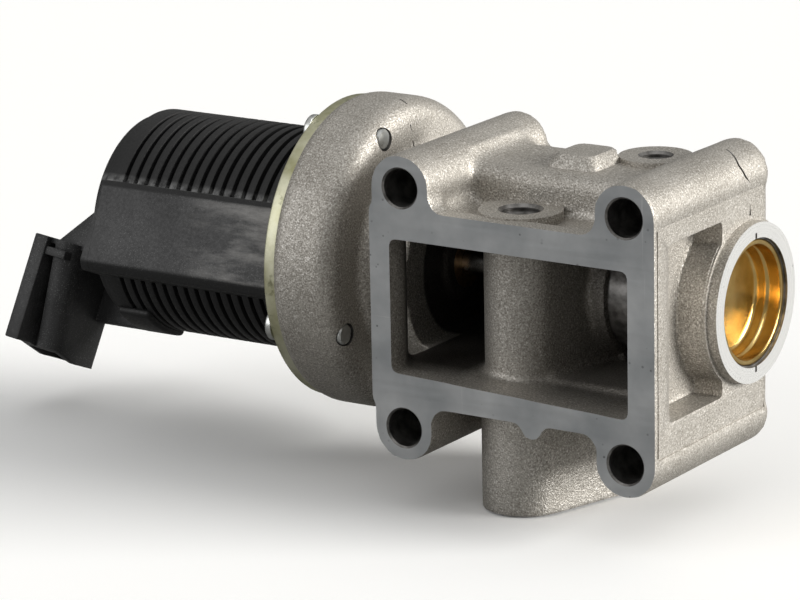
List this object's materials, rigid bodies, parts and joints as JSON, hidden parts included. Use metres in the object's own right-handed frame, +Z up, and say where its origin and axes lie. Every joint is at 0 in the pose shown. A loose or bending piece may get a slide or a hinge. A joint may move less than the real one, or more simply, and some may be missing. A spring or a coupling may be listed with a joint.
{
  "type": "exhaust gas recirculation valve",
  "caption": "Motor-driven exhaust gas recirculation valve: cast body with a bolted gas window, two poppet discs on one stem, ribbed motor housing.",
  "frame": {"origin": "centre of the four bolt holes on the machined face of the front flange", "axes": "+X along the valve stem away from the motor, -Y out of the front flange's face, +Z up, against the exhaust stub"},
  "size_m": [0.1901, 0.0767, 0.0821],
  "materials": {
    "cast_aluminium": "sand-blasted casting, machined faces",
    "yellow_zinc": "yellow passivated zinc",
    "seat_steel": "turned heat-resisting steel",
    "sintered_bronze": "sintered bronze",
    "seal_rubber": "fluorocarbon rubber",
    "plain_steel": "pressed steel",
    "stem_steel": "ground stainless steel",
    "spring_steel": "spring wire",
    "magnet_ferrite": "sintered ferrite",
    "core_sheet": "stacked sheet",
    "winding_copper": "enamelled copper",
    "bearing_steel": "polished bearing steel",
    "black_nylon": "moulded glass-filled nylon",
    "screw_steel": "zinc plated steel",
    "tinned_brass": "tinned brass",
    "sensor_plastic": "moulded epoxy",
    "brush_plastic": "moulded phenolic",
    "brush_carbon": "carbon copper"
  },
  "bodies": {
    "body": {"valve_body": "cast_aluminium", "end_plug": "yellow_zinc", "seat_ring_left": "seat_steel", "seat_ring_right": "seat_steel", "stem_guide_bush": "sintered_bronze", "stem_seal": "seal_rubber", "seal_cup": "plain_steel", "return_spring": "spring_steel", "bearing_outer_race": "bearing_steel", "bearing_balls": "bearing_steel", "bearing_plate": "plain_steel", "rear_bush": "sintered_bronze", "motor_housing": "black_nylon", "housing_seal_ring": "seal_rubber", "clamp_ring": "yellow_zinc", "flange_screws": "screw_steel", "end_cap": "black_nylon", "connector_terminals": "tinned_brass", "lead_frame": "tinned_brass", "position_sensor": "sensor_plastic", "motor_can": "plain_steel", "magnets": "magnet_ferrite", "brush_holder": "brush_plastic", "brushes": "brush_carbon", "brush_springs": "spring_steel"},
    "rotor": {"rotor_sleeve": "stem_steel", "rotor_core": "core_sheet", "winding_ends": "winding_copper", "commutator": "winding_copper", "bearing_inner_race": "bearing_steel"},
    "stem": {"valve_stem": "stem_steel", "valve_disc_left": "stem_steel", "valve_disc_right": "stem_steel", "disc_spacer": "stem_steel", "disc_nut": "plain_steel", "spring_seat": "plain_steel", "spindle": "stem_steel", "sensor_magnet": "magnet_ferrite"}
  },
  "joints": [
    {"name": "rotor_turn", "type": "hinge", "parent": "body", "child": "rotor", "pos_m": [-0.108, 0.04085, 0.0003], "axis": [1, 0, 0], "range_deg": [0, 540], "stiffness_Nm_per_rad": 0.0004, "springref_deg": -343.77},
    {"name": "stem_lift", "type": "slide", "parent": "body", "child": "stem", "axis": [1, 0, 0], "range_m": [0, 0.006], "deforming": ["return_spring"]}
  ],
  "couplings": [
    {"joint": "stem_lift", "follows": "rotor_turn", "m_per_rad": 0.00063662}
  ]
}
